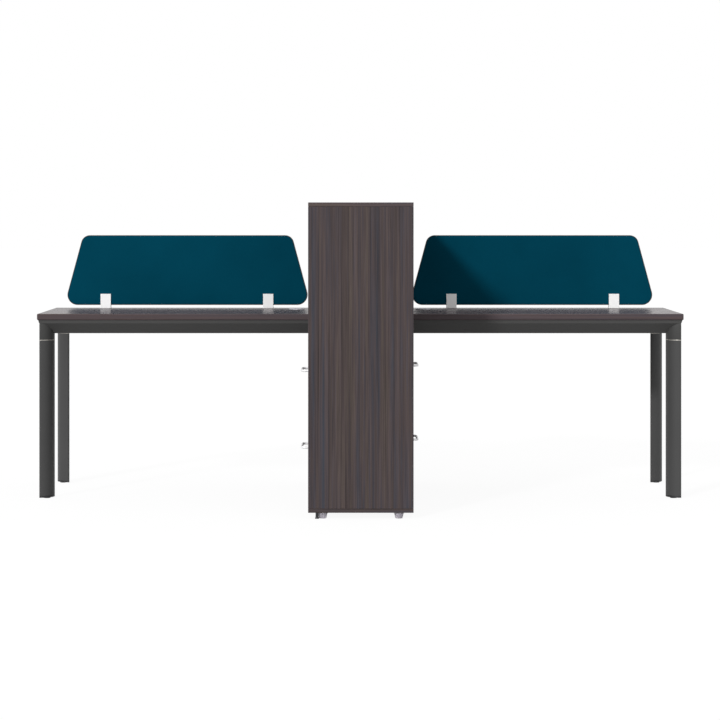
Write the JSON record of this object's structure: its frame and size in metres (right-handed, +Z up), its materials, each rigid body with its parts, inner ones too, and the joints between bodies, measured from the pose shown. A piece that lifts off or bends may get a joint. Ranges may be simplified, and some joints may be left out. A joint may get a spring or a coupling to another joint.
{
  "type": "double office workstation",
  "caption": "Double desk workstation: two straight desks on leaf-section legs, joined to a tall double-sided cabinet with drawers and open niches, with low rear screens.",
  "frame": {"origin": "on the floor, under the middle of the cabinet, which is the middle of the whole part's outline", "axes": "+X to the right-hand desk seen from the cabinet's front end, +Y from that end to the rear end and the screens, +Z up"},
  "size_m": [2.624, 1.2, 1.2],
  "materials": {
    "cabinet_laminate": "satin",
    "worktop_laminate": "gloss",
    "drawer_board": "satin",
    "handle_chrome": "satin",
    "zinc_steel": "satin",
    "frame_paint": "satin",
    "leg_paint": "satin",
    "ring_chrome": "gloss",
    "black_plastic": "matte",
    "clear_plastic": "gloss",
    "grommet_plastic": "satin",
    "screen_teal": "matte",
    "white_paint": "satin"
  },
  "bodies": {
    "workstation": {"adjustable_shelves": "cabinet_laminate", "beam_brackets": "frame_paint", "bracket_screws": "zinc_steel", "cabinet_base": "cabinet_laminate", "cabinet_feet": "clear_plastic", "cabinet_runners": "zinc_steel", "cabinet_top": "cabinet_laminate", "corner_castings": "frame_paint", "corner_glide": "black_plastic", "drawer_bay_shelves": "cabinet_laminate", "end_beam_left": "frame_paint", "end_beam_right": "frame_paint", "front_beam_left": "frame_paint", "front_beam_right": "frame_paint", "front_divider": "cabinet_laminate", "front_end_panel": "cabinet_laminate", "front_leg_left": "leg_paint", "front_leg_right": "leg_paint", "grommet_rings": "grommet_plastic", "left_side_panels": "cabinet_laminate", "leg_caps": "black_plastic", "leg_rings": "ring_chrome", "middle_divider": "cabinet_laminate", "rear_beam_left": "frame_paint", "rear_beam_right": "frame_paint", "rear_divider": "cabinet_laminate", "rear_end_panel": "cabinet_laminate", "rear_leg_left": "leg_paint", "rear_leg_right": "leg_paint", "right_side_panels": "cabinet_laminate", "screen_left": "screen_teal", "screen_right": "screen_teal", "screen_shoes": "white_paint", "shelf_pins": "zinc_steel", "shoe_screws": "zinc_steel", "worktop_left": "worktop_laminate", "worktop_level_shelves": "cabinet_laminate", "worktop_right": "worktop_laminate"},
    "lower_left_drawer": {"lower_left_drawer_front": "cabinet_laminate", "lower_left_drawer_box": "drawer_board", "lower_left_handle": "handle_chrome", "lower_left_drawer_runners": "zinc_steel"},
    "upper_left_drawer": {"upper_left_drawer_front": "cabinet_laminate", "upper_left_drawer_box": "drawer_board", "upper_left_handle": "handle_chrome", "upper_left_drawer_runners": "zinc_steel"},
    "lower_right_drawer": {"lower_right_drawer_front": "cabinet_laminate", "lower_right_drawer_box": "drawer_board", "lower_right_handle": "handle_chrome", "lower_right_drawer_runners": "zinc_steel"},
    "upper_right_drawer": {"upper_right_drawer_front": "cabinet_laminate", "upper_right_drawer_box": "drawer_board", "upper_right_handle": "handle_chrome", "upper_right_drawer_runners": "zinc_steel"},
    "front_left_foot": {"levelling_foot_front_left": "black_plastic"},
    "rear_left_foot": {"levelling_foot_rear_left": "black_plastic"},
    "front_right_foot": {"levelling_foot_front_right": "black_plastic"},
    "rear_right_foot": {"levelling_foot_rear_right": "black_plastic"},
    "left_grommet_cap": {"grommet_cap_left": "grommet_plastic"},
    "right_grommet_cap": {"grommet_cap_right": "grommet_plastic"}
  },
  "joints": [
    {"name": "lower_left_drawer_slide", "type": "slide", "parent": "workstation", "child": "lower_left_drawer", "axis": [-1, 0, 0], "range_m": [0, 0.25]},
    {"name": "upper_left_drawer_slide", "type": "slide", "parent": "workstation", "child": "upper_left_drawer", "axis": [-1, 0, 0], "range_m": [0, 0.25]},
    {"name": "lower_right_drawer_slide", "type": "slide", "parent": "workstation", "child": "lower_right_drawer", "axis": [1, 0, 0], "range_m": [0, 0.25]},
    {"name": "upper_right_drawer_slide", "type": "slide", "parent": "workstation", "child": "upper_right_drawer", "axis": [1, 0, 0], "range_m": [0, 0.25]},
    {"name": "left_grommet_cap_turn", "type": "hinge", "parent": "workstation", "child": "left_grommet_cap", "pos_m": [-0.269, 0.455, 0.75], "axis": [0, 0, 1], "continuous": true},
    {"name": "right_grommet_cap_turn", "type": "hinge", "parent": "workstation", "child": "right_grommet_cap", "pos_m": [0.269, 0.455, 0.75], "axis": [0, 0, 1], "continuous": true},
    {"name": "front_left_foot_turn", "type": "hinge", "parent": "workstation", "child": "front_left_foot", "pos_m": [-1.275, 0.037, 0], "axis": [0, 0, 1], "continuous": true},
    {"name": "rear_left_foot_turn", "type": "hinge", "parent": "workstation", "child": "rear_left_foot", "pos_m": [-1.275, 0.563, 0], "axis": [0, 0, 1], "continuous": true},
    {"name": "front_right_foot_turn", "type": "hinge", "parent": "workstation", "child": "front_right_foot", "pos_m": [1.275, 0.037, 0], "axis": [0, 0, 1], "continuous": true},
    {"name": "rear_right_foot_turn", "type": "hinge", "parent": "workstation", "child": "rear_right_foot", "pos_m": [1.275, 0.563, 0], "axis": [0, 0, 1], "continuous": true}
  ]
}
